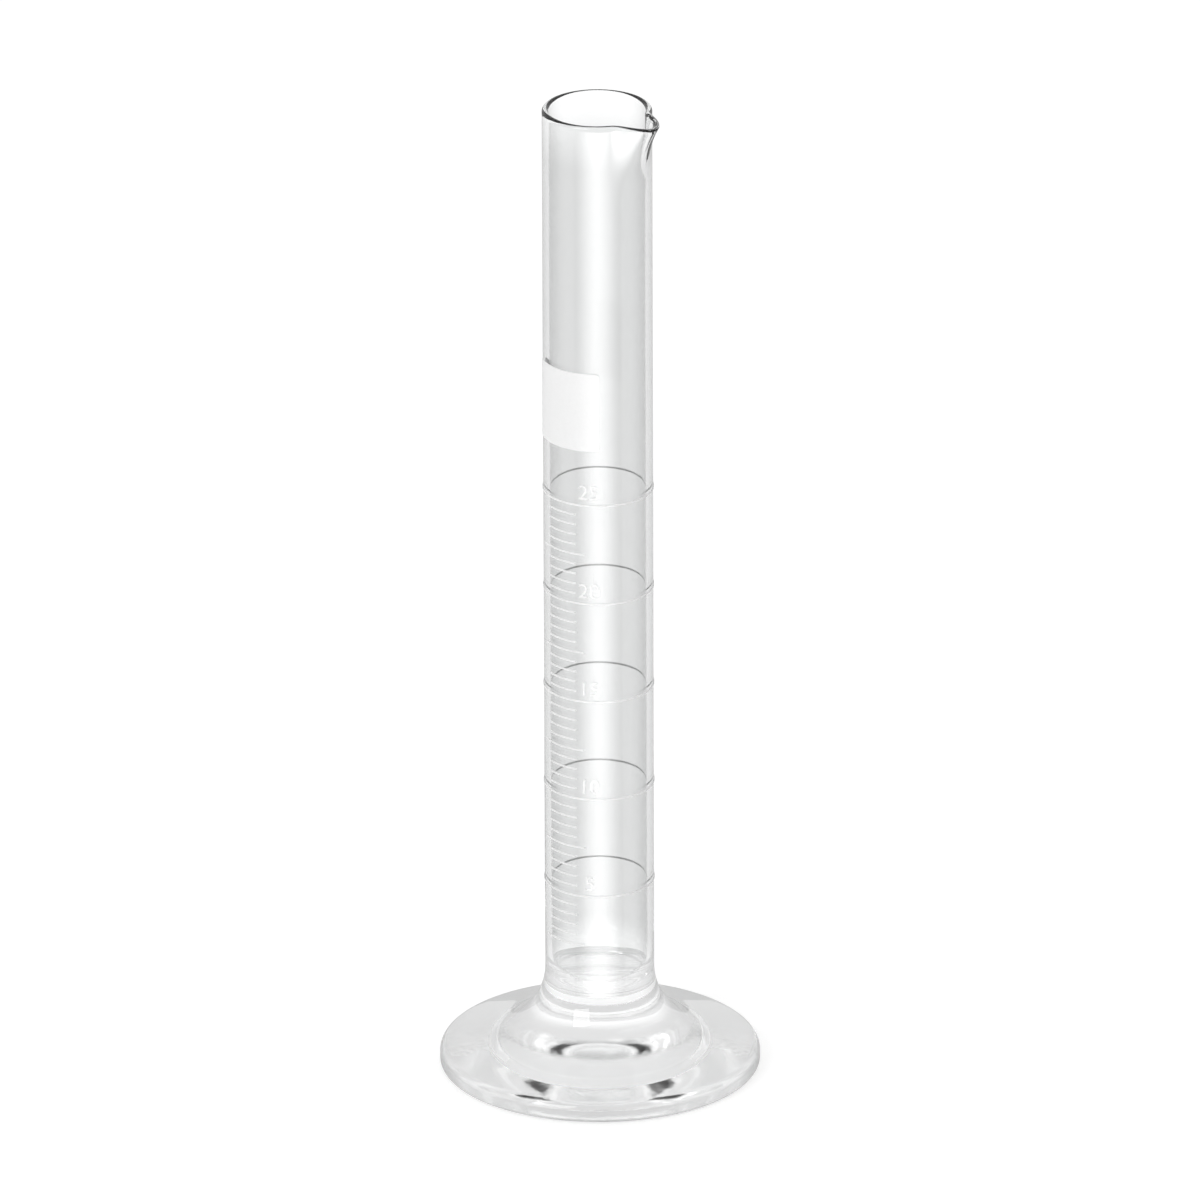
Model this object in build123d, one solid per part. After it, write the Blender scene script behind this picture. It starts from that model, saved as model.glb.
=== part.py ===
from build123d import *
from math import acos, asin, atan2, cos, degrees, hypot, pi, radians, sin
import os

# Measuring cylinder of clear borosilicate glass, 25 ml in 0.5 ml steps.
# A drawn tube, closed at the bottom and pressed into a spout at the rim, is fused to a
# pressed round foot. The scale and a writing panel are white enamel fired onto the tube.
# Millimetres. Origin at the centre of the base, +Z up the tube, spout towards +X,
# scale and panel facing -Y.

# Tube
overall_height = 191.0
tube_diameter = 20.5
tube_wall = 1.25
rim_rounding = 0.5
bore_floor_height = 16.3
bore_floor_rounding = 6.0
closed_end_thickness = 3.6

# Spout, pressed out of the rim over an arc of the wall
spout_reach = 4.5
spout_length = 15.0
spout_half_angle = 34.0
spout_droop = 0.5

# Neck, where tube and foot run into each other in one concave sweep
neck_top_height = 19.5
neck_sweep_radius = 13.5

# Foot
foot_diameter = 60.0
foot_edge_height = 3.5
foot_edge_rounding = 1.9
base_bevel = 0.8
recess_diameter = 39.0
recess_step_height = 2.0
recess_step_taper = 1.2
recess_crown_height = 5.0

# Scale, in millilitres
capacity = 25.0
step_volume = 0.5
steps_per_ring_line = 10
steps_per_medium_line = 5
lowest_volume = 2.5

# Enamel
enamel_thickness = 0.1
line_width = 0.35
scale_direction = -90.0
medium_line_arc = 54.0
short_line_arc = 36.0
panel_arc = 88.0
panel_height = 15.4
panel_gap = 10.8
panel_corner_rounding = 0.8

# Sizes that follow from the ones above
tube_radius = tube_diameter / 2
bore_radius = tube_radius - tube_wall
foot_radius = foot_diameter / 2
recess_radius = recess_diameter / 2
joint_height = bore_floor_height - closed_end_thickness
bowl_top_height = bore_floor_height + bore_floor_rounding
spout_base_height = overall_height - spout_length
neck_centre = (tube_radius + neck_sweep_radius, neck_top_height)
joint_angle = 180 + degrees(asin((neck_top_height - joint_height) / neck_sweep_radius))
cubic_mm_per_ml = 1000


def point_on_neck(angle):
    """Point of the neck's sweep at an angle about its centre, in the radius and height plane."""
    x = neck_centre[0] + neck_sweep_radius * cos(radians(angle))
    z = neck_centre[1] + neck_sweep_radius * sin(radians(angle))
    return (x, z)


def neck_end_angle():
    """Angle at which the foot's straight slope leaves the sweep, tangent, for the foot's edge."""
    across = foot_radius - neck_centre[0]
    down = foot_edge_height - neck_centre[1]
    towards_edge = degrees(atan2(down, across))
    tangent_offset = degrees(acos(neck_sweep_radius / hypot(across, down)))
    return 360 + towards_edge - tangent_offset


# Tube: the closed end and straight wall are one revolved profile
def plain_tube():
    """Closed tube from the fused joint up to where the spout begins."""
    with BuildPart() as tube:
        with BuildSketch(Plane.XZ):
            with BuildLine():
                Polyline((0, bore_floor_height), (0, joint_height), point_on_neck(joint_angle))
                CenterArc(neck_centre, neck_sweep_radius, joint_angle, 180 - joint_angle)
                Polyline(
                    (tube_radius, neck_top_height),
                    (tube_radius, spout_base_height),
                    (bore_radius, spout_base_height),
                    (bore_radius, bowl_top_height),
                )
                CenterArc(
                    (bore_radius - bore_floor_rounding, bowl_top_height),
                    bore_floor_rounding,
                    0,
                    -90,
                )
                Line((bore_radius - bore_floor_rounding, bore_floor_height), (0, bore_floor_height))
            make_face()
        revolve(axis=Axis.Z)
    return tube.part


def bulge(depth, drop):
    """Points across the spout at a depth into the wall and a drop below the rim."""
    reach = spout_reach * (1 - drop / spout_length) ** 2
    turn = radians(spout_half_angle)
    points = []
    for share in (-1, -0.75, -0.5, -0.25, 0, 0.25, 0.5, 0.75, 1):
        angle = share * turn
        radius = tube_radius + reach * cos(share * pi / 2) ** 2
        growth = -reach * sin(share * pi) * pi / 2 / turn
        facing = angle - atan2(growth, radius)
        x = radius * cos(angle) - depth * cos(facing)
        y = radius * sin(angle) - depth * sin(facing)
        points.append((x, y))
    return points


def spout_section(drop):
    """The spout's wall at a drop below the rim, tangent at both sides to the round wall."""
    turn = radians(spout_half_angle)
    tangents = [(sin(turn), cos(turn)), (-sin(turn), cos(turn))]
    outside = bulge(0, drop)
    inside = bulge(tube_wall, drop)
    with BuildSketch(Plane.XY.offset(overall_height - drop)) as section:
        with BuildLine():
            if drop < spout_length:
                Spline(outside, tangents=tangents)
                Spline(inside, tangents=tangents)
            else:
                CenterArc((0, 0), tube_radius, -spout_half_angle, 2 * spout_half_angle)
                CenterArc((0, 0), bore_radius, -spout_half_angle, 2 * spout_half_angle)
            Line(outside[0], inside[0])
            Line(outside[-1], inside[-1])
        make_face()
    return section.sketch.face()


def spouted_rim():
    """Top of the tube: a round wall at the back and, over the spout's arc, a loft swelling outwards."""
    spout = loft([spout_section(spout_length * share) for share in (0, 0.2, 0.4, 0.6, 0.8, 1)])
    with BuildPart() as back:
        with BuildSketch(Plane.XZ):
            with Locations((tube_radius - tube_wall / 2, overall_height - spout_length / 2)):
                Rectangle(tube_wall, spout_length)
        revolve(axis=Axis.Z, revolution_arc=360 - 2 * spout_half_angle)
    return spout + back.part.rotate(Axis.Z, spout_half_angle)


def droop_cutter():
    """Space above the lip, whose tip dips below the rim along a tangent arc."""
    start = bore_radius * cos(radians(spout_half_angle))
    run = tube_radius + spout_reach - start
    arc_radius = (run**2 + spout_droop**2) / (2 * spout_droop)
    past_tip = run + tube_wall
    end = (start + past_tip, overall_height - arc_radius + (arc_radius**2 - past_tip**2) ** 0.5)
    with BuildPart() as cutter:
        with BuildSketch(Plane.XZ):
            with BuildLine():
                TangentArc((start, overall_height), end, tangent=(1, 0))
                Polyline(
                    end,
                    (end[0], overall_height + spout_droop),
                    (start, overall_height + spout_droop),
                    (start, overall_height),
                )
            make_face()
        extrude(amount=tube_diameter, both=True)
    return cutter.part


def graduated_tube():
    """The whole tube, its rim rounded as by a flame."""
    tube = plain_tube() + spouted_rim() - droop_cutter()
    lip = tube.faces().filter_by_position(
        Axis.Z, overall_height - spout_droop, overall_height + spout_droop
    )
    return fillet(lip.edges().filter_by(lambda edge: edge.length > 2 * tube_wall), rim_rounding)


# Foot: a revolved profile, thickest under the tube and hollow beneath
def round_foot():
    """Pressed foot, with the lower part of the neck's sweep and a domed recess in its base."""
    slope_angle = neck_end_angle()
    recess_top_radius = recess_radius - recess_step_taper
    with BuildPart() as foot:
        with BuildSketch(Plane.XZ) as profile:
            with BuildLine():
                Polyline((0, recess_crown_height), (0, joint_height), point_on_neck(joint_angle))
                CenterArc(
                    neck_centre, neck_sweep_radius, joint_angle, slope_angle - joint_angle
                )
                Polyline(
                    point_on_neck(slope_angle),
                    (foot_radius, foot_edge_height),
                    (foot_radius, 0),
                    (recess_radius, 0),
                    (recess_top_radius, recess_step_height),
                )
                TangentArc(
                    (0, recess_crown_height),
                    (recess_top_radius, recess_step_height),
                    tangent=(1, 0),
                )
            make_face()
            fillet(
                profile.vertices().sort_by_distance((foot_radius, foot_edge_height))[0],
                foot_edge_rounding,
            )
            for corner in ((foot_radius, 0), (recess_radius, 0)):
                chamfer(profile.vertices().sort_by_distance(corner)[0], base_bevel)
        revolve(axis=Axis.Z)
    return foot.part


# Scale: each line's height comes from the volume that the bore holds below it
def level_of(volume):
    """Height at which the bore holds a volume in millilitres."""
    bore_area = pi * bore_radius**2
    corner = bore_floor_rounding**2 * (1 - pi / 4)
    corner_inset = bore_floor_rounding * (10 - 3 * pi) / (12 - 3 * pi)
    lost = corner * 2 * pi * (bore_radius - corner_inset)
    return bore_floor_height + (volume * cubic_mm_per_ml + lost) / bore_area


def enamel_band(level, height, arc):
    """Enamel on the outside of the tube, centred on a level and on the scale's side."""
    with BuildPart() as band:
        with BuildSketch(Plane.XZ):
            with Locations((tube_radius + enamel_thickness / 2, level)):
                Rectangle(enamel_thickness, height)
        revolve(axis=Axis.Z, revolution_arc=arc)
    return band.part.rotate(Axis.Z, scale_direction - arc / 2)


def scale_line(step):
    """Name and solid of the line at a number of steps from zero: a full ring, a medium or a short one."""
    volume = step * step_volume
    if step % steps_per_ring_line == 0:
        kind, arc = "ring", 360
    elif step % steps_per_medium_line == 0:
        kind, arc = "medium", medium_line_arc
    else:
        kind, arc = "short", short_line_arc
    name = f"{kind}_line_{volume:04.1f}ml".replace(".", "_")
    return name, enamel_band(level_of(volume), line_width, arc)


def writing_panel():
    """Panel for pencil notes, above the scale, with rounded corners."""
    level = level_of(capacity) + panel_gap + panel_height / 2
    panel = enamel_band(level, panel_height, panel_arc)
    corners = panel.edges().filter_by(lambda edge: edge.length < 2 * enamel_thickness)
    return fillet(corners, panel_corner_rounding)


nodes = {
    "graduated_tube": graduated_tube(),
    "round_foot": round_foot(),
    "writing_panel": writing_panel(),
}
for step in range(round(lowest_volume / step_volume), round(capacity / step_volume) + 1):
    name, line = scale_line(step)
    nodes[name] = line

os.makedirs("parts", exist_ok=True)
for name, shape in nodes.items():
    export_step(shape, f"parts/{name}.step")
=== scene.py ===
import bmesh
import bpy
from math import acos, asin, atan2, ceil, cos, degrees, hypot, pi, radians, sin, sqrt
from mathutils import Matrix, Vector


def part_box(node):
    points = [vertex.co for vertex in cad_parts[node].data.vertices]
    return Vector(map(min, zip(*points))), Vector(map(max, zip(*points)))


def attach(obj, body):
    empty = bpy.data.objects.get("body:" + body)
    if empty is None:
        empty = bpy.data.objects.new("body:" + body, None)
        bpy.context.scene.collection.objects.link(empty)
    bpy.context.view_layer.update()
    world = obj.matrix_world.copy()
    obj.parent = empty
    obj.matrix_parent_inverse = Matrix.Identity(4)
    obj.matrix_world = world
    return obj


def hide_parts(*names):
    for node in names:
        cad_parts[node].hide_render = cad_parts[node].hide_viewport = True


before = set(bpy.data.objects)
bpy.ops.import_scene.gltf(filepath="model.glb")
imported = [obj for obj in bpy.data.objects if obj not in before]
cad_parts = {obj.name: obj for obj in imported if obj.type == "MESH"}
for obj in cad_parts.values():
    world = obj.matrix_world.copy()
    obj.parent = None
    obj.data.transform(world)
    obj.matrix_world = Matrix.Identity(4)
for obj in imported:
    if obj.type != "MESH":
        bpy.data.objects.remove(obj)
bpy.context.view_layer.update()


# Glass body
# One piece of clear borosilicate glass: a drawn tube, closed at the bottom, fused in the
# flame to a pressed foot, so that no joint shows in the glass. The rim is fire-polished
# and its spout was pressed out while the glass was soft.
MM = 0.001
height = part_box("graduated_tube")[1].z
foot_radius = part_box("round_foot")[1].x
enamel_thickness = 0.1 * MM
enamel_clearance = 0.04 * MM
tube_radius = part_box("ring_line_05_0ml")[1].x - enamel_thickness - enamel_clearance
tube_wall = 1.25 * MM
bore_radius = tube_radius - tube_wall
bore_floor_height = 16.3 * MM
bore_floor_rounding = 6.0 * MM
spout_reach = 4.5 * MM
spout_length = 15.0 * MM
spout_half_angle = radians(34)
spout_droop = 0.5 * MM
neck_top_height = 19.5 * MM
neck_sweep_radius = 13.5 * MM
foot_edge_height = 3.5 * MM
foot_edge_rounding = 1.9 * MM
base_rounding = 0.8 * MM
recess_radius = 19.5 * MM
recess_top_radius = 18.3 * MM
recess_step_height = 2.0 * MM
recess_crown_height = 5.0 * MM
inside_ripple = 0.02 * MM
ripple_turns = (3, 2)
ripple_climb = (40, -25)
ripple_shift = 1
dome_steps = 36
corner_steps = 6
edge_steps = 10
neck_steps = 24
rim_steps = 10
bowl_steps = 16
foot_step = 1.5 * MM
wall_step = 4 * MM
spout_step = 0.6 * MM
bore_floor_step = 0.8 * MM
spout_segments = 140
round_segments = 260
glass_ior = 1.474
wave_strength = 0.12
# Painted shade: the glass tint is darkened towards its grazing edges, drawing its outline grey.
edge_from, edge_to = 0.3, 0.8
edge_painted_shade = 0.62
red_share = 0.995
# Glass tint by level above the base, with painted shade and painted light: darker along the tube and at the
# foot's base, clear at the neck and lighter near the rim.
tint_and_painted_shade_by_level = (
    (0 * MM, 0.82),
    (3 * MM, 0.82),
    (4 * MM, 0.95),
    (8 * MM, 0.95),
    (11 * MM, 1.0),
    (21 * MM, 1.0),
    (26 * MM, 0.8),
    (height - 9 * MM, 0.8),
    (height - 3 * MM, 0.93),
)


def arc_points(centre, radius, start, end, count):
    """Points of an arc in the radius and height plane, its angles in degrees."""
    turns = [radians(start + (end - start) * i / count) for i in range(count + 1)]
    return [(centre[0] + radius * cos(t), centre[1] + radius * sin(t)) for t in turns]


def straight_points(start, end, step):
    """Points between two ends, both left out, at most a step apart."""
    count = ceil(hypot(end[0] - start[0], end[1] - start[1]) / step)
    shares = [i / count for i in range(1, count)]
    return [(start[0] + (end[0] - start[0]) * s, start[1] + (end[1] - start[1]) * s) for s in shares]


def rounded_corner(before, corner, after, radius, count):
    """Arc that rounds the corner between two straight runs of the profile."""
    here = Vector(corner)
    to_before = (Vector(before) - here).normalized()
    to_after = (Vector(after) - here).normalized()
    half = to_before.angle(to_after) / 2
    centre = here + (to_before + to_after).normalized() * radius / sin(half)
    start = here + to_before * radius / (sin(half) / cos(half)) - centre
    end = here + to_after * radius / (sin(half) / cos(half)) - centre
    turn = end.angle_signed(start)
    first = atan2(start.y, start.x)
    return [
        (centre.x + radius * cos(first + turn * i / count), centre.y + radius * sin(first + turn * i / count))
        for i in range(count + 1)
    ]


def glass_profile():
    """Half outline of the glass from the recess round to the bore, and how much of it is pressed."""
    neck_centre = (tube_radius + neck_sweep_radius, neck_top_height)
    across = foot_radius - neck_centre[0]
    down = foot_edge_height - neck_centre[1]
    slope_turn = atan2(down, across) - acos(neck_sweep_radius / hypot(across, down))
    slope_start = (
        neck_centre[0] + neck_sweep_radius * cos(slope_turn),
        neck_centre[1] + neck_sweep_radius * sin(slope_turn),
    )
    rise = recess_crown_height - recess_step_height
    dome_radius = (recess_top_radius**2 + rise**2) / (2 * rise)
    dome_angle = degrees(asin(recess_top_radius / dome_radius))
    dome = arc_points((0, recess_crown_height - dome_radius), dome_radius, 90, 90 - dome_angle, dome_steps)
    recess_top = (recess_top_radius, recess_step_height)
    recess_edge = (recess_radius, 0)
    base_edge = (foot_radius, 0)
    top_edge = (foot_radius, foot_edge_height)
    step_corner = rounded_corner(dome[-2], recess_top, recess_edge, base_rounding, corner_steps)
    points = [point for point in dome if point[0] < step_corner[0][0]] + step_corner
    points += rounded_corner(recess_top, recess_edge, base_edge, base_rounding, corner_steps)
    points += straight_points(points[-1], base_edge, foot_step)[:-1]
    pressed_count = len(points) - 1
    points += rounded_corner(recess_edge, base_edge, top_edge, base_rounding, corner_steps)
    points += rounded_corner(base_edge, top_edge, slope_start, foot_edge_rounding, edge_steps)
    points += straight_points(points[-1], slope_start, foot_step)
    points += arc_points(neck_centre, neck_sweep_radius, degrees(slope_turn) + 360, 180, neck_steps)
    spout_base = height - spout_length
    points += straight_points((tube_radius, neck_top_height), (tube_radius, spout_base), wall_step)
    rim_half = tube_wall / 2
    points.append((tube_radius, spout_base))
    points += straight_points((tube_radius, spout_base), (tube_radius, height - rim_half), spout_step)
    points += arc_points((tube_radius - rim_half, height - rim_half), rim_half, 0, 180, rim_steps)
    points += straight_points((bore_radius, height - rim_half), (bore_radius, spout_base), spout_step)
    bowl_top = (bore_radius, bore_floor_height + bore_floor_rounding)
    points.append((bore_radius, spout_base))
    points += straight_points((bore_radius, spout_base), bowl_top, wall_step)
    bowl_centre = (bore_radius - bore_floor_rounding, bowl_top[1])
    points += arc_points(bowl_centre, bore_floor_rounding, 0, -90, bowl_steps)
    points += straight_points(points[-1], (0, bore_floor_height), bore_floor_step)
    points.append((0, bore_floor_height))
    return points, pressed_count


def lip_dip(x):
    """How far the lip has dipped below the rim at a distance from the axis towards the spout."""
    start = bore_radius * cos(spout_half_angle)
    run = tube_radius + spout_reach - start
    arc_radius = (run**2 + spout_droop**2) / (2 * spout_droop)
    past = max(0, x - start)
    return arc_radius - sqrt(arc_radius**2 - past**2)


def on_glass(radius, level, angle):
    """Point of the glass at an angle, swollen outwards and dipped where the spout is."""
    above_spout_base = max(0, 1 - (height - level) / spout_length)
    reach = spout_reach * above_spout_base**2
    if reach > 0:
        share = max(-1, min(1, angle / spout_half_angle))
        outside = tube_radius + reach * cos(share * pi / 2) ** 2
        growth = -reach * sin(share * pi) * pi / 2 / spout_half_angle
        facing = angle - atan2(growth, outside)
        depth = tube_radius - radius
        x = outside * cos(angle) - depth * cos(facing)
        y = outside * sin(angle) - depth * sin(facing)
        return (x, y, level - lip_dip(x) * above_spout_base**2)
    if radius < tube_radius and level > bore_floor_height and radius > bore_radius / 2:
        first_wave = sin(ripple_turns[0] * angle + ripple_climb[0] * level)
        second_wave = sin(ripple_turns[1] * angle + ripple_climb[1] * level + ripple_shift)
        radius += inside_ripple * first_wave * second_wave
    return (radius * cos(angle), radius * sin(angle), level)


def turned_mesh(name, profile, pressed_count, place, turns):
    """Closed mesh turned round Z from a profile between two points on the axis, its start pressed."""
    mesh = bmesh.new()
    first = mesh.verts.new((0, 0, profile[0][1]))
    last = mesh.verts.new((0, 0, profile[-1][1]))
    rings = []
    for radius, level in profile[1:-1]:
        rings.append([mesh.verts.new(place(radius, level, turn)) for turn in turns])
    for i in range(len(turns)):
        after = (i + 1) % len(turns)
        mesh.faces.new((first, rings[0][after], rings[0][i])).material_index = 1
        for row, (low, high) in enumerate(zip(rings, rings[1:])):
            face = mesh.faces.new((low[i], low[after], high[after], high[i]))
            face.material_index = 1 if row < pressed_count else 0
        mesh.faces.new((rings[-1][i], rings[-1][after], last))
    bmesh.ops.recalc_face_normals(mesh, faces=mesh.faces)
    data = bpy.data.meshes.new(name)
    mesh.to_mesh(data)
    mesh.free()
    data.shade_smooth()
    return data


def add_piece(name, data, material):
    """Object of a mesh with one material, riding on the cylinder's only body."""
    piece = bpy.data.objects.new(name, data)
    bpy.context.scene.collection.objects.link(piece)
    data.materials.append(material)
    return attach(piece, "root")


def new_material(name):
    """Material with its node tree, its Principled shader and its output."""
    material = bpy.data.materials.new(name)
    material.use_nodes = True
    tree = material.node_tree
    return material, tree, tree.nodes["Principled BSDF"]


def new_group(name, inputs, outputs):
    """Shader node group with inputs of a kind and a value, and outputs of a kind."""
    group = bpy.data.node_groups.new(name, "ShaderNodeTree")
    for label, kind, value in inputs:
        group.interface.new_socket(label, in_out="INPUT", socket_type=kind).default_value = value
    for label, kind in outputs:
        group.interface.new_socket(label, in_out="OUTPUT", socket_type=kind)
    return group, group.nodes.new("NodeGroupInput"), group.nodes.new("NodeGroupOutput")


def fine_relief_group():
    """Noise over the surface, with the roughness and the bumped normal that follow it."""
    inputs = [
        ("Stretch", "NodeSocketVector", (1, 1, 1)),
        ("Scale", "NodeSocketFloat", 1000),
        ("Detail", "NodeSocketFloat", 2),
        ("Smoothest", "NodeSocketFloat", 0),
        ("Roughest", "NodeSocketFloat", 1),
        ("Strength", "NodeSocketFloat", 0.1),
        ("Depth", "NodeSocketFloat", MM),
    ]
    outputs = [
        ("Grain", "NodeSocketFloat"),
        ("Roughness", "NodeSocketFloat"),
        ("Normal", "NodeSocketVector"),
    ]
    group, given, result = new_group("fine_relief", inputs, outputs)
    place = group.nodes.new("ShaderNodeTexCoord")
    mapping = group.nodes.new("ShaderNodeMapping")
    noise = group.nodes.new("ShaderNodeTexNoise")
    polish = group.nodes.new("ShaderNodeMapRange")
    bump = group.nodes.new("ShaderNodeBump")
    group.links.new(place.outputs["Object"], mapping.inputs["Vector"])
    group.links.new(given.outputs["Stretch"], mapping.inputs["Scale"])
    group.links.new(mapping.outputs["Vector"], noise.inputs["Vector"])
    group.links.new(given.outputs["Scale"], noise.inputs["Scale"])
    group.links.new(given.outputs["Detail"], noise.inputs["Detail"])
    group.links.new(given.outputs["Smoothest"], polish.inputs["To Min"])
    group.links.new(given.outputs["Roughest"], polish.inputs["To Max"])
    group.links.new(given.outputs["Strength"], bump.inputs["Strength"])
    group.links.new(given.outputs["Depth"], bump.inputs["Distance"])
    group.links.new(noise.outputs["Fac"], polish.inputs["Value"])
    group.links.new(noise.outputs["Fac"], bump.inputs["Height"])
    group.links.new(noise.outputs["Fac"], result.inputs["Grain"])
    group.links.new(polish.outputs["Result"], result.inputs["Roughness"])
    group.links.new(bump.outputs["Normal"], result.inputs["Normal"])
    return group


def glass_tone_group():
    """Tint of the glass by its level above the base, with painted shade and painted light in it: darker along
    the tube and at the foot's base, clear at the neck, lighter near the rim.
    """
    group, given, result = new_group("glass_tint_and_painted_shade", [], [("Tone", "NodeSocketColor")])
    place = group.nodes.new("ShaderNodeTexCoord")
    spot = group.nodes.new("ShaderNodeSeparateXYZ")
    share = group.nodes.new("ShaderNodeMath")
    share.operation = "DIVIDE"
    share.inputs[1].default_value = height
    tones = group.nodes.new("ShaderNodeValToRGB")
    stops = tones.color_ramp.elements
    while len(stops) < len(tint_and_painted_shade_by_level):
        stops.new(0.5)
    for stop, (level, tone) in zip(stops, tint_and_painted_shade_by_level):
        stop.position = level / height
        stop.color = (tone * red_share, tone, tone, 1)
    group.links.new(place.outputs["Object"], spot.inputs["Vector"])
    group.links.new(spot.outputs["Z"], share.inputs[0])
    group.links.new(share.outputs["Value"], tones.inputs["Fac"])
    group.links.new(tones.outputs["Color"], result.inputs["Tone"])
    return group


def add_relief(tree, shader, values):
    """Fine relief with its own values, set on a shader's roughness and normal."""
    relief = tree.nodes.new("ShaderNodeGroup")
    relief.node_tree = fine_relief
    for label, value in values.items():
        relief.inputs[label].default_value = value
    tree.links.new(relief.outputs["Roughness"], shader.inputs["Roughness"])
    tree.links.new(relief.outputs["Normal"], shader.inputs["Normal"])
    return relief


def glass_material(name, relief_values):
    """Clear glass with a fine relief, its tint carrying painted shade by level, and greyer with painted shade
    where the eye grazes it.
    """
    material, tree, shader = new_material(name)
    shader.inputs["IOR"].default_value = glass_ior
    shader.inputs["Transmission Weight"].default_value = 1
    add_relief(tree, shader, relief_values)
    tone = tree.nodes.new("ShaderNodeGroup")
    tone.node_tree = glass_tint_and_painted_shade
    # Painted shade: the tint is multiplied down towards the edge shade where the eye grazes the glass.
    slant = tree.nodes.new("ShaderNodeLayerWeight")
    edge = tree.nodes.new("ShaderNodeMapRange")
    edge.inputs["From Min"].default_value = edge_from
    edge.inputs["From Max"].default_value = edge_to
    tint_with_painted_edge_shade = tree.nodes.new("ShaderNodeMix")
    tint_with_painted_edge_shade.data_type = "RGBA"
    tint_with_painted_edge_shade.blend_type = "MULTIPLY"
    tint_with_painted_edge_shade.inputs["B"].default_value = (edge_painted_shade, edge_painted_shade, edge_painted_shade, 1)
    tree.links.new(slant.outputs["Facing"], edge.inputs["Value"])
    tree.links.new(edge.outputs["Result"], tint_with_painted_edge_shade.inputs["Factor"])
    tree.links.new(tone.outputs["Tone"], tint_with_painted_edge_shade.inputs["A"])
    tree.links.new(tint_with_painted_edge_shade.outputs["Result"], shader.inputs["Base Color"])
    return material


spout_turns = [spout_half_angle * (2 * i / spout_segments - 1) for i in range(spout_segments + 1)]
round_arc = 2 * pi - 2 * spout_half_angle
round_turns = [spout_half_angle + round_arc * i / round_segments for i in range(1, round_segments)]
profile, pressed_count = glass_profile()
glass_mesh = turned_mesh("fused_glass_body", profile, pressed_count, on_glass, spout_turns + round_turns)
fine_relief = fine_relief_group()
glass_tint_and_painted_shade = glass_tone_group()
drawn_streaks = {
    "Stretch": (1, 1, 0.06),
    "Scale": 260,
    "Detail": 2,
    "Smoothest": 0.0,
    "Roughest": 0.03,
    "Strength": wave_strength,
    "Depth": 0.05 * MM,
}
pressed_waves = {
    "Stretch": (1, 1, 1),
    "Scale": 220,
    "Detail": 2,
    "Smoothest": 0.08,
    "Roughest": 0.14,
    "Strength": wave_strength,
    "Depth": 0.4 * MM,
}
glass_body = add_piece("fused_glass_body", glass_mesh, glass_material("drawn_glass", drawn_streaks))
glass_mesh.materials.append(glass_material("pressed_glass", pressed_waves))
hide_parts("graduated_tube", "round_foot")


# Scale lines and writing panel
# Opaque white enamel, screen-printed on the tube and fired until it fused to the glass.
# It lies 0.1 mm proud, with a satin face and the fine grain of the powder.
enamel_white = (0.9, 0.9, 0.9, 1)
enamel_shade = 0.93
enamel_softness = 0.7
enamel_depth = 3 * enamel_thickness
powder_grain = {
    "Stretch": (1, 1, 1),
    "Scale": 2500,
    "Detail": 3,
    "Smoothest": 0.35,
    "Roughest": 0.55,
    "Strength": 0.2,
    "Depth": 0.02 * MM,
}


def fired_enamel(name, colour):
    """Satin enamel with a fine powder grain in its colour and its face."""
    material, tree, shader = new_material(name)
    relief = add_relief(tree, shader, powder_grain)
    shade = tree.nodes.new("ShaderNodeMix")
    shade.data_type = "RGBA"
    shade.inputs["A"].default_value = [enamel_shade * c for c in colour[:3]] + [1]
    shade.inputs["B"].default_value = colour
    shader.inputs["Subsurface Weight"].default_value = enamel_softness
    shader.inputs["Subsurface Radius"].default_value = (1, 1, 1)
    shader.inputs["Subsurface Scale"].default_value = enamel_depth
    tree.links.new(relief.outputs["Grain"], shade.inputs["Factor"])
    tree.links.new(shade.outputs["Result"], shader.inputs["Base Color"])
    return material


white_enamel = fired_enamel("white_enamel", enamel_white)
for name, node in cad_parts.items():
    if "_line_" in name or name == "writing_panel":
        node.data.materials.clear()
        node.data.materials.append(white_enamel)


# Numerals
# The volumes of the ring lines, printed in the same white enamel just above each line,
# to the right of the short lines. They are wrapped round the tube.
numeral_height = 3.0 * MM
numeral_gap = 1.0 * MM
numeral_direction = radians(-58)
numeral_share_of_size = 0.73
wrap_step = 0.3 * MM
weld_distance = 0.001 * MM


def wrapped_number(name, text, size, direction, level, radius, material):
    """Raised number on a round wall, its middle at a direction and its foot on a level."""
    curve = bpy.data.curves.new(name, "FONT")
    curve.body = text
    curve.size = size / numeral_share_of_size
    curve.align_x = "CENTER"
    curve.extrude = enamel_thickness / 2
    flat = bpy.data.objects.new(name + "_flat", curve)
    mesh = bmesh.new()
    flat_mesh = bpy.data.meshes.new_from_object(flat)
    mesh.from_mesh(flat_mesh)
    bpy.data.objects.remove(flat)
    bpy.data.curves.remove(curve)
    bpy.data.meshes.remove(flat_mesh)
    bmesh.ops.remove_doubles(mesh, verts=mesh.verts, dist=weld_distance)
    widths = [vertex.co.x for vertex in mesh.verts]
    for cut in range(ceil(min(widths) / wrap_step), ceil(max(widths) / wrap_step)):
        everything = list(mesh.verts) + list(mesh.edges) + list(mesh.faces)
        bmesh.ops.bisect_plane(
            mesh,
            geom=everything,
            plane_co=(cut * wrap_step, 0, 0),
            plane_no=(1, 0, 0),
            dist=weld_distance,
        )
    for vertex in mesh.verts:
        out = radius + enamel_clearance + enamel_thickness / 2 + vertex.co.z
        turn = direction + vertex.co.x / radius
        vertex.co = (out * cos(turn), out * sin(turn), level + vertex.co.y)
    bmesh.ops.recalc_face_normals(mesh, faces=mesh.faces)
    data = bpy.data.meshes.new(name)
    mesh.to_mesh(data)
    mesh.free()
    return add_piece(name, data, material)


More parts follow.
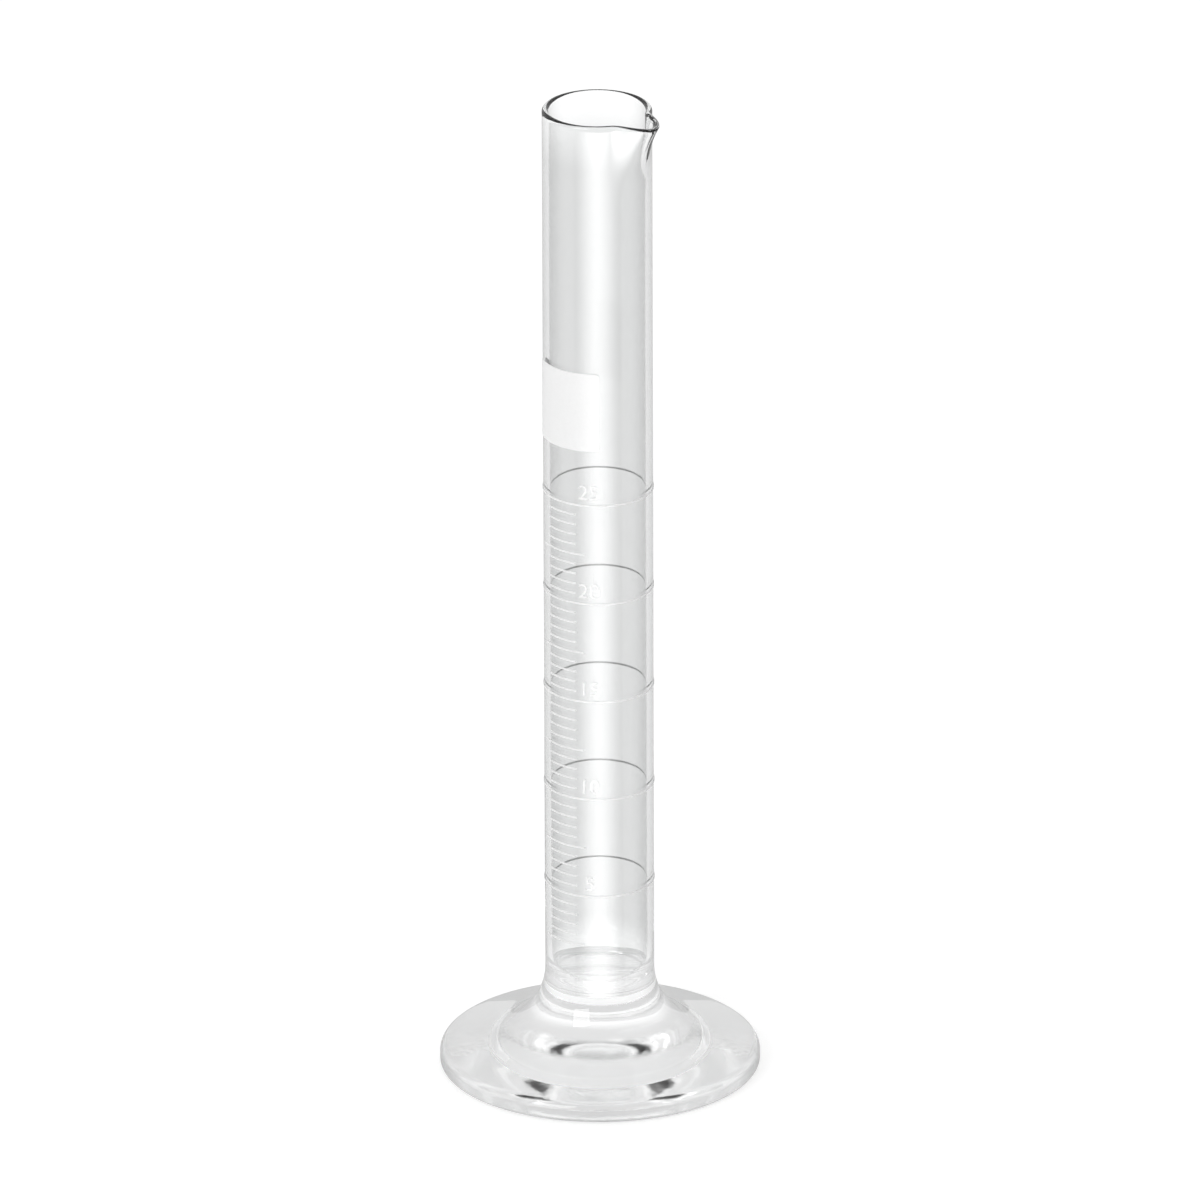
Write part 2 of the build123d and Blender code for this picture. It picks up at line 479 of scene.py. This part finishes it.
for volume in (5, 10, 15, 20, 25):
    line_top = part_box(f"ring_line_{volume:02d}_0ml")[1].z
    numeral = wrapped_number(
        f"numeral_{volume:02d}ml",
        str(volume),
        numeral_height,
        numeral_direction,
        line_top + numeral_gap,
        tube_radius,
        white_enamel,
    )


# Camera
# It looks down at the cylinder from a distance, with the spout to the right and the scale
# to the left of the middle, as the photograph does.
view_azimuth = radians(42)
view_distance = 3.6399
view_height = 1.5819
view_pitch = radians(22.246)
view_yaw = radians(0.0042)
view_roll = radians(-0.19)
view_focal = 634.5

lens = bpy.data.cameras.new("camera")
lens.lens = view_focal
lens.clip_end = 100
camera = bpy.data.objects.new("camera", lens)
bpy.context.scene.collection.objects.link(camera)
stand = (view_distance * sin(view_azimuth), -view_distance * cos(view_azimuth), view_height)
aim = Matrix.Rotation(view_azimuth - view_yaw, 4, "Z") @ Matrix.Rotation(pi / 2 - view_pitch, 4, "X")
camera.matrix_world = Matrix.Translation(stand) @ aim @ Matrix.Rotation(view_roll, 4, "Z")
bpy.context.scene.camera = camera


# Floor, surroundings and lamps
# A pale table under even studio light: bright walls all round and a darker ceiling, which
# draws the rim, the spout and the foot's edge as grey lines.
floor_radius = 6.0
floor_drop = 0.2 * MM
floor_segments = 64
floor_glow = 0.62
floor_glow_through_glass = 0.55
floor_glow_reflected = 0.15
floor_glow_on_enamel = 0.4
floor_grey = (0.5, 0.5, 0.5, 1)

floor_mesh = bpy.data.meshes.new("floor")
turns = [2 * pi * i / floor_segments for i in range(floor_segments)]
corners = [(floor_radius * cos(t), floor_radius * sin(t), -floor_drop) for t in turns]
floor_mesh.from_pydata(corners, [], [list(range(floor_segments))])
floor = bpy.data.objects.new("floor", floor_mesh)
bpy.context.scene.collection.objects.link(floor)

floor_material, tree, shader = new_material("floor")
shader.inputs["Base Color"].default_value = floor_grey
shader.inputs["Roughness"].default_value = 0.9
shader.inputs["Specular IOR Level"].default_value = 0
shader.inputs["Emission Color"].default_value = (1, 1, 1, 1)
paths = tree.nodes.new("ShaderNodeLightPath")
mirrored = tree.nodes.new("ShaderNodeMath")
mirrored.operation = "MULTIPLY"
mirrored.inputs[1].default_value = floor_glow_reflected
on_enamel = tree.nodes.new("ShaderNodeMath")
on_enamel.operation = "MULTIPLY_ADD"
on_enamel.inputs[1].default_value = floor_glow_on_enamel
in_glass = tree.nodes.new("ShaderNodeMath")
in_glass.operation = "MULTIPLY_ADD"
in_glass.inputs[1].default_value = floor_glow_through_glass
glow = tree.nodes.new("ShaderNodeMath")
glow.operation = "MULTIPLY_ADD"
glow.inputs[1].default_value = floor_glow
tree.links.new(paths.outputs["Is Glossy Ray"], mirrored.inputs[0])
tree.links.new(paths.outputs["Is Transmission Ray"], in_glass.inputs[0])
tree.links.new(paths.outputs["Is Diffuse Ray"], on_enamel.inputs[0])
tree.links.new(mirrored.outputs["Value"], on_enamel.inputs[2])
tree.links.new(on_enamel.outputs["Value"], in_glass.inputs[2])
tree.links.new(paths.outputs["Is Camera Ray"], glow.inputs[0])
tree.links.new(in_glass.outputs["Value"], glow.inputs[2])
tree.links.new(glow.outputs["Value"], shader.inputs["Emission Strength"])
floor_mesh.materials.append(floor_material)

world = bpy.data.worlds.new("studio")
bpy.context.scene.world = world
world.use_nodes = True
tree = world.node_tree
place = tree.nodes.new("ShaderNodeTexCoord")
parts = tree.nodes.new("ShaderNodeSeparateXYZ")
ceiling = tree.nodes.new("ShaderNodeMapRange")
ceiling.interpolation_type = "SMOOTHSTEP"
ceiling.inputs["From Min"].default_value = 0.1
ceiling.inputs["From Max"].default_value = 0.5
ceiling.inputs["To Min"].default_value = 1.0
ceiling.inputs["To Max"].default_value = 0.78
tree.links.new(place.outputs["Generated"], parts.inputs["Vector"])
tree.links.new(parts.outputs["Z"], ceiling.inputs["Value"])
tree.links.new(ceiling.outputs["Result"], tree.nodes["Background"].inputs["Color"])


def add_lamp(name, direction, elevation, distance, width, length, power):
    """Rectangular soft lamp that faces the middle of the cylinder from a direction and an elevation."""
    light = bpy.data.lights.new(name, "AREA")
    light.shape = "RECTANGLE"
    light.size = width
    light.size_y = length
    light.energy = power
    lamp = bpy.data.objects.new(name, light)
    bpy.context.scene.collection.objects.link(lamp)
    middle = Vector((0, 0, height / 2))
    away = Vector((cos(direction) * cos(elevation), sin(direction) * cos(elevation), sin(elevation)))
    lamp.location = middle + away * distance
    lamp.rotation_mode = "QUATERNION"
    lamp.rotation_quaternion = away.to_track_quat("Z", "Y")
    return lamp


camera_direction = view_azimuth - pi / 2
add_lamp(
    "key_lamp",
    direction=camera_direction - radians(35),
    elevation=radians(25),
    distance=1.0,
    width=0.5,
    length=0.5,
    power=3,
)

card_near = 0.055
card_far = 0.6
card_half_angle = radians(50)
card_lift = 0.5 * MM
card_segments = 24
card_strength = 8.0
card_mesh = bpy.data.meshes.new("front_card")
turns = [card_half_angle * (2 * i / card_segments - 1) for i in range(card_segments + 1)]
near_edge = [(card_near * cos(t), card_near * sin(t), card_lift) for t in turns]
far_edge = [(card_far * cos(t), card_far * sin(t), card_lift) for t in turns]
outline = near_edge + far_edge[::-1]
card_mesh.from_pydata(outline, [], [list(range(len(outline)))])
card = bpy.data.objects.new("front_card", card_mesh)
card.rotation_euler.z = camera_direction
bpy.context.scene.collection.objects.link(card)
card.visible_camera = False
card.visible_diffuse = False
card.visible_transmission = False
card.visible_shadow = False
card_material, tree, shader = new_material("front_card")
shader.inputs["Base Color"].default_value = (0, 0, 0, 1)
shader.inputs["Emission Color"].default_value = (1, 1, 1, 1)
place = tree.nodes.new("ShaderNodeTexCoord")
parts = tree.nodes.new("ShaderNodeSeparateXYZ")
turn = tree.nodes.new("ShaderNodeMath")
turn.operation = "ARCTAN2"
across = tree.nodes.new("ShaderNodeMath")
across.operation = "ABSOLUTE"
fade = tree.nodes.new("ShaderNodeMapRange")
fade.interpolation_type = "SMOOTHSTEP"
fade.inputs["From Min"].default_value = 0
fade.inputs["From Max"].default_value = card_half_angle
fade.inputs["To Min"].default_value = card_strength
fade.inputs["To Max"].default_value = 0
tree.links.new(place.outputs["Object"], parts.inputs["Vector"])
tree.links.new(parts.outputs["Y"], turn.inputs[0])
tree.links.new(parts.outputs["X"], turn.inputs[1])
tree.links.new(turn.outputs["Value"], across.inputs[0])
tree.links.new(across.outputs["Value"], fade.inputs["Value"])
tree.links.new(fade.outputs["Result"], shader.inputs["Emission Strength"])
card_mesh.materials.append(card_material)

light_bounces = 32
scene = bpy.context.scene
scene.view_settings.view_transform = "Standard"
scene.cycles.max_bounces = light_bounces
scene.cycles.glossy_bounces = light_bounces
scene.cycles.transmission_bounces = light_bounces
